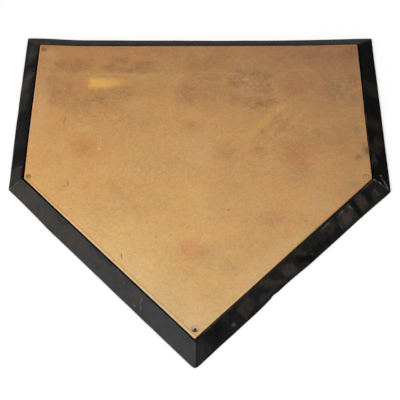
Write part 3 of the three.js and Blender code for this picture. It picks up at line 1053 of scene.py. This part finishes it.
# Where wear has moved the outline: place, reach and shift in mm, and whether it is the border alone
plateWear = {
    "frontLeftFlare": ((-238, 242), 45, (0, 2.8), False),
    "frontRightFlare": ((238, 242), 50, (-0.5, 1.3), False),
    "rightShoulderOut": ((216, 4), 60, (0.7, 0), False),
    "frontLeftLift": ((-216, 222), 42, (0, 1.0), False),
    "frontRightLift": ((205, 222), 48, (0, 1.0), False),
    "rearRightOut": ((165, -46), 70, (0.4, -0.4), False),
    "pointIn": ((0, -212), 60, (-0.5, 0.35), False),
    "pointBlunt": ((0, -243.3), 3.5, (0, 1.6), True),
    "leftShoulderIn": ((-216, 4), 45, (0.8, 0.3), False),
    "borderSettled": ((0, 0), 1000, (0.55, 0.3), True),
    "rightSideWide": ((240, 150), 130, (1.1, 0), True),
    "frontLeftSpread": ((-238, 242), 70, (0, 0.9), True),
    "frontHollow": ((45, 242), 110, (0, -0.9), True),
    "frontRightSpread": ((238, 242), 32, (0.4, 0.3), True),
    "leftShoulderWear": ((-238, -5), 65, (0.7, 1.3), True),
    "rightSideSpread": ((238, 10), 130, (1.5, 0), True),
    "rightShoulderSplay": ((238, -5), 28, (0.4, -1.5), True),
    "rearRightSwell": ((150, -88), 40, (0.2, -0.2), True),
    "rearRightHollow": ((104, -138), 30, (-1.0, 1.0), True),
    "rearRightChip": ((91, -151), 4, (-0.8, 0.8), True),
}


def wearShift(x, y):
    footward = clamp(outside(x, y) / borderWidth)
    shift = Vector((0, 0))
    for (placeX, placeY), reach, push, borderOnly in plateWear.values():
        far = math.hypot(x / mm - placeX, y / mm - placeY) / reach
        weight = math.exp(-far * far) * (footward if borderOnly else 1.0)
        shift += Vector(push) * mm * weight
    return shift


# Noise from -1 to 1 with features of a given size in metres
def wave(point, size, seed):
    return noise.noise(Vector((point.x / size + seed * 17.3, point.y / size - seed * 9.1, point.z / size)))


# Corner screws, where the frame has them
screwShape = {
    "head": 3.2 * mm,
    "rim": 0.4 * mm,
    "dome": 0.12 * mm,
    "domeFall": 0.03 * mm,
    "edge": 0.1 * mm,
    "edgeIn": 0.12 * mm,
    "shank": 1.75 * mm,
    "tip": 0.6 * mm,
    "taper": 3.0 * mm,
    "gap": 0.3 * mm,
    "headRoom": 0.1 * mm,
    "openAbove": 2 * mm,
    "steps": 40,
    "driveLength": 3.6 * mm,
    "driveWidth": 0.85 * mm,
    "driveDepth": 0.7 * mm,
    "driveTaper": (0.6, 0.7, 1),
    "turn": 37,
}
pointHole = {
    "mouth": 3.9 * mm,
    "waist": 1.7 * mm,
    "waistRise": 0.3 * mm,
}


def screwSection(low, high, swell):
    head = screwShape["head"] + swell
    shank = screwShape["shank"] + swell
    cone = high - screwShape["rim"] - swell
    return [
        (0, low - swell),
        (screwShape["tip"] + swell, low - swell),
        (shank, low - swell + screwShape["taper"]),
        (shank, cone - (head - shank)),
        (head, cone),
    ]


def makeScrew(name, index):
    shape = screwShape
    low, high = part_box("corner_screw_" + name)
    middle = (low + high) / 2
    brim = high.z - shape["dome"]
    section = screwSection(low.z, brim, 0)
    section += [
        (shape["head"], brim - shape["edge"]),
        (shape["head"] - shape["edgeIn"], brim),
        (shape["head"] / 2, high.z - shape["domeFall"]),
        (0, high.z),
    ]
    screw = pieceFrom(turned(section, shape["steps"], (middle.x, middle.y, 0)), "rusted_screw_" + name)
    for quarter in (0, 90):
        bar = block((shape["driveLength"], shape["driveWidth"], 2 * shape["driveDepth"]))
        lower = [vert for vert in bar.verts if vert.co.z < 0]
        bmesh.ops.scale(bar, vec=shape["driveTaper"], verts=lower)
        turn = Matrix.Rotation(math.radians(quarter + shape["turn"] * index), 3, "Z")
        bmesh.ops.rotate(bar, verts=bar.verts[:], cent=(0, 0, 0), matrix=turn)
        move(bar, (middle.x, middle.y, high.z))
        carve(screw, bar)
    coat(screw, rustedSteel(name, middle))
    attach(screw, "root")
    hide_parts("corner_screw_" + name)


# Holes that the screws need, open upwards
def screwHoles():
    top = slabHigh.z + screwShape["openAbove"]
    holes = []
    for name in cornerNames:
        low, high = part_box("corner_screw_" + name)
        middle = (low + high) / 2
        section = screwSection(low.z, high.z, screwShape["gap"])
        section.append((section[-1][0], high.z + screwShape["headRoom"]))
        if name == "point":  # the rubber has closed over the rim of the sunk head
            section.append((pointHole["waist"], high.z + pointHole["waistRise"]))
            section.append((pointHole["mouth"], slabHigh.z))
        section += [(section[-1][0], top), (0, top)]
        holes.append(turned(section, screwShape["steps"], (middle.x, middle.y, 0)))
    return joined(holes)


# Seats of the bolts in the tray's floor: the wide head, and the square neck below it
boltShape = {
    "head": 12.7 * mm,
    "rim": 0.8 * mm,
    "depth": 1.9 * mm,
    "neck": 6.4 * mm,
    "neckDepth": 8 * mm,
    "gap": 0.3 * mm,
    "openAbove": 1 * mm,
    "steps": 32,
}


def boltPlaces():
    boxes = [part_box(name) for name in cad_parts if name.startswith("tie_bolt")]
    return [((low.x + high.x) / 2, (low.y + high.y) / 2, high.z) for low, high in boxes]


def boltHeads():
    shape = boltShape
    wide = shape["head"] + shape["gap"]
    narrow = shape["neck"] / 4
    seats = []
    for x, y, top in boltPlaces():
        foot = top - shape["depth"] - shape["gap"]
        brim = top - shape["rim"] - shape["gap"]
        high = top + shape["openAbove"]
        section = [(0, foot), (narrow, foot), (wide, brim), (wide, high), (0, high)]
        seats.append(turned(section, shape["steps"], (x, y, 0)))
    return joined(seats)


def boltNecks():
    side = boltShape["neck"] + 2 * boltShape["gap"]
    depth = boltShape["neckDepth"]
    seats = []
    for x, y, top in boltPlaces():
        seat = block((side, side, depth))
        move(seat, (x, y, top - depth / 2))
        seats.append(seat)
    return joined(seats)


# Slab
slabShape = {
    "corner": 1.5 * mm,
    "edgeRound": 1.1 * mm,
    "segments": 4,
    "spread": 0.25 * mm,
    "cell": 4.5 * mm,
    "swell": 0.22 * mm,
    "swellSize": 60 * mm,
    "ripple": 0.06 * mm,
    "rippleSize": 14 * mm,
    "edgeWear": 0.35 * mm,
    "edgeWearSize": 11 * mm,
    "calmReach": 14 * mm,
    "rippleReach": 4 * mm,
    "rimReach": 2.5 * mm,
    "sag": 0.35,
    "nibbleGain": 1.6,
    "nibbleStart": 0.35,
}


def makeSlab():
    bm = bmesh.new()
    outlineFace(bm, slabShape["spread"], slabLow.z)
    roundEdges(bm, bm.verts[:], slabShape["corner"], slabShape["segments"], "VERTICES")
    top = pull(bm, bm.faces[:][0], slabHigh.z - slabLow.z)
    roundEdges(bm, list(top.edges), slabShape["edgeRound"], slabShape["segments"])
    faceOut(bm)
    dice(bm, slabShape["cell"], lambda face: face.normal.z > -0.5)
    for vert in bm.verts:
        if vert.co.z > slabLow.z + nearly:
            wearSlab(vert)
    slab = pieceFrom(bm, "worn_slab")
    carve(slab, screwHoles())
    coat(slab, finishes["slab"])
    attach(slab, "root")
    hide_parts("top_slab")
    return slab


def wearSlab(vert):
    shape = slabShape
    here = Vector((vert.co.x, vert.co.y, 0))
    inward = -outside(here.x, here.y)
    height = (vert.co.z - slabLow.z) / (slabHigh.z - slabLow.z)
    calm = clamp(inward / shape["calmReach"])
    swell = shape["swell"] * (wave(here, shape["swellSize"], 1) - shape["sag"])
    ripple = shape["ripple"] * wave(here, shape["rippleSize"], 2)
    vert.co.z += (swell * calm + ripple * clamp(inward / shape["rippleReach"])) * height
    nibble = clamp(wave(here, shape["edgeWearSize"], 3) * shape["nibbleGain"] - shape["nibbleStart"])
    rim = clamp(1 - inward / shape["rimReach"]) * height
    middle = Vector((0, shoulderLine, 0))
    pullIn = (middle - here).normalized() * shape["edgeWear"] * nibble * rim
    vert.co.z -= shape["edgeWear"] * nibble * rim
    shift = wearShift(here.x, here.y)
    vert.co.x += shift.x + pullIn.x
    vert.co.y += shift.y + pullIn.y


# Border
borderShape = {
    "reveal": 1.6 * mm,
    "crest": 2.0 * mm,
    "lip": 2.0 * mm,
    "edgeRound": 0.8 * mm,
    "edgeSegments": 3,
    "boardGap": 0.3 * mm,
    "boardCorner": 4.3 * mm,
    "boardSegments": 5,
    "pocketReach": 7.5 * mm,
    "cell": 3.0 * mm,
    "footWave": 0.35 * mm,
    "footWaveSize": 30 * mm,
    "faceWave": 0.25 * mm,
    "faceWaveSize": 22 * mm,
}


def makeBorder():
    shape = borderShape
    bm = bmesh.new()
    foot = outlineFace(bm, borderWidth, 0)
    top = pull(bm, foot, shape["lip"])
    inset(bm, top, borderWidth - shape["reveal"] - shape["crest"], baseHigh.z - shape["lip"])
    inset(bm, top, shape["crest"])
    pull(bm, top, slabLow.z - baseHigh.z)
    under = next(face for face in bm.faces if all(vert.co.z < nearly for vert in face.verts))
    inset(bm, under, borderWidth - (boardHigh.x - halfWidth) - shape["boardGap"])
    pull(bm, under, boardHigh.z)
    bmesh.ops.remove_doubles(bm, verts=bm.verts[:], dist=weld)
    faceOut(bm)
    corners = [edge for edge in bm.edges if all(inPocket(vert.co) for vert in edge.verts)]
    corners = [edge for edge in corners if abs(edge.verts[0].co.z - edge.verts[1].co.z) > mm]
    roundEdges(bm, corners, shape["boardCorner"], shape["boardSegments"])
    outer = [edge for edge in bm.edges if isOuterEdge(edge)]
    roundEdges(bm, outer, shape["edgeRound"], shape["edgeSegments"])
    dice(bm, shape["cell"], isBorderFace)
    for vert in bm.verts:
        wearBorder(vert)
    faceOut(bm)
    border = pieceFrom(bm, "worn_border")
    carve(border, screwHoles())
    carve(border, boltHeads())
    carve(border, boltNecks())
    coat(border, finishes["border"])
    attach(border, "root")
    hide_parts("bevelled_base")
    return border


# The pocket that holds the board, under the border
def inPocket(place):
    return place.z < boardHigh.z + nearly and outside(place.x, place.y) < borderShape["pocketReach"]


# Hips, crest edges and the lip's upper edge, which are all rounded
def isOuterEdge(edge):
    first, second = (vert.co for vert in edge.verts)
    if inPocket(first) or inPocket(second):
        return False
    beyond = [outside(point.x, point.y) for point in (first, second)]
    if min(beyond) < borderShape["reveal"] - nearly or max(first.z, second.z) < nearly:
        return False
    if min(first.z, second.z) > slabLow.z + nearly and abs(first.z - second.z) < nearly:
        return abs(beyond[0] - beyond[1]) < nearly  # round the crest, but not across it
    return min(first.z, second.z) > -nearly and max(beyond) > borderShape["reveal"] + 5 * nearly


def isBorderFace(face):
    middle = face.calc_center_median()
    if inPocket(middle):
        return False
    return outside(middle.x, middle.y) > borderShape["reveal"] - 2 * nearly and middle.z > 2 * nearly


def wearBorder(vert):
    shape = borderShape
    beyond = outside(vert.co.x, vert.co.y)
    if beyond < shape["reveal"] - nearly or inPocket(vert.co):
        return
    here = Vector((vert.co.x, vert.co.y, 0))
    level = shape["reveal"] + shape["crest"]
    footward = clamp((beyond - level) / (borderWidth - level))
    shift = wearShift(here.x, here.y)
    outward = (here - Vector((0, shoulderLine, 0))).normalized()
    ragged = wave(here, shape["footWaveSize"], 4) * shape["footWave"] * footward
    vert.co.x += shift.x + outward.x * ragged
    vert.co.y += shift.y + outward.y * ragged
    if vert.co.z > shape["lip"] / 2:
        midway = clamp(4 * footward * (1 - footward))
        vert.co.z += wave(here, shape["faceWaveSize"], 5) * shape["faceWave"] * midway


slab = makeSlab()
print("slab:", len(slab.data.polygons), "faces")
border = makeBorder()
print("border:", len(border.data.polygons), "faces")
for index, name in enumerate(cornerNames):
    makeScrew(name, index)
print("screws made")

# Nodes that stay as the frame has them
for name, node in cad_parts.items():
    for start, finish in {"tie_bolt": "bolt", "tee_nut": "nut", "filler_board": "board"}.items():
        if name.startswith(start):
            coat(node, finishes[finish])
print("nodes finished")

# Studio: white floor that keeps the shadow, and large soft lamps
studio = {
    "floorSize": 2.0,
    "floorDrop": 0.4 * mm,
    "floorColour": (0.8, 0.8, 0.8, 1.0),
    "floorGlow": 0.36,
    "rimGlow": 0.56,
    "rimReach": (380.0, 900.0),
    "white": (1, 1, 1, 1),
    "ambient": 0.45,
    "lamps": {
        # name: location, aim, size, power
        "key": ((-0.9, -1.0, 1.1), (0, 0, 0), 1.2, 14.0),
        "fill": ((1.0, 0.6, 1.6), (0, 0, 0), 1.6, 8.0),
    },
}


# 1 for the rays that show the studio as it looks, 0 for those that only carry its light
def seenRays(wire):
    kinds = ("Is Camera Ray", "Is Glossy Ray", "Is Transmission Ray")
    return reduce(highest, [wire.node("LightPath", None, None, kind) for kind in kinds])


def makeStudio():
    material, wire = newFinish("studio_floor")
    rays = seenRays(wire)
    matt = wire.node("BsdfDiffuse", None, {"Color": studio["floorColour"]})
    far = wire.vector("LENGTH", {0: placeInMm(wire)}, "Value")
    level = studio["floorGlow"] + ease(far, *studio["rimReach"]) * (studio["rimGlow"] - studio["floorGlow"])
    glow = wire.node("Emission", None, {"Color": studio["white"], "Strength": rays * level})
    both = wire.node("AddShader", None, {0: matt, 1: glow})
    wire.node("OutputMaterial", None, {"Surface": both})
    bm = bmesh.new()
    bmesh.ops.create_grid(bm, x_segments=1, y_segments=1, size=studio["floorSize"] / 2)
    move(bm, (0, 0, -studio["floorDrop"]))
    floor = pieceFrom(bm, "floor")
    coat(floor, material)

    world = bpy.data.worlds.new("studio_world")
    world.use_nodes = True
    world.node_tree.nodes.clear()
    air = Wire(world.node_tree)
    strength = studio["ambient"] + seenRays(air) * (1 - studio["ambient"])
    sky = air.node("Background", None, {"Color": studio["white"], "Strength": strength})
    air.node("OutputWorld", None, {"Surface": sky})
    scene.world = world

    for name, (location, aim, size, power) in studio["lamps"].items():
        data = bpy.data.lights.new(name, "AREA")
        data.shape = "DISK"
        data.size = size
        data.energy = power
        lamp = bpy.data.objects.new(name, data)
        lamp.location = location
        lamp.rotation_euler = (Vector(aim) - Vector(location)).to_track_quat("-Z", "Y").to_euler()
        scene.collection.objects.link(lamp)


makeStudio()
print("studio lit")
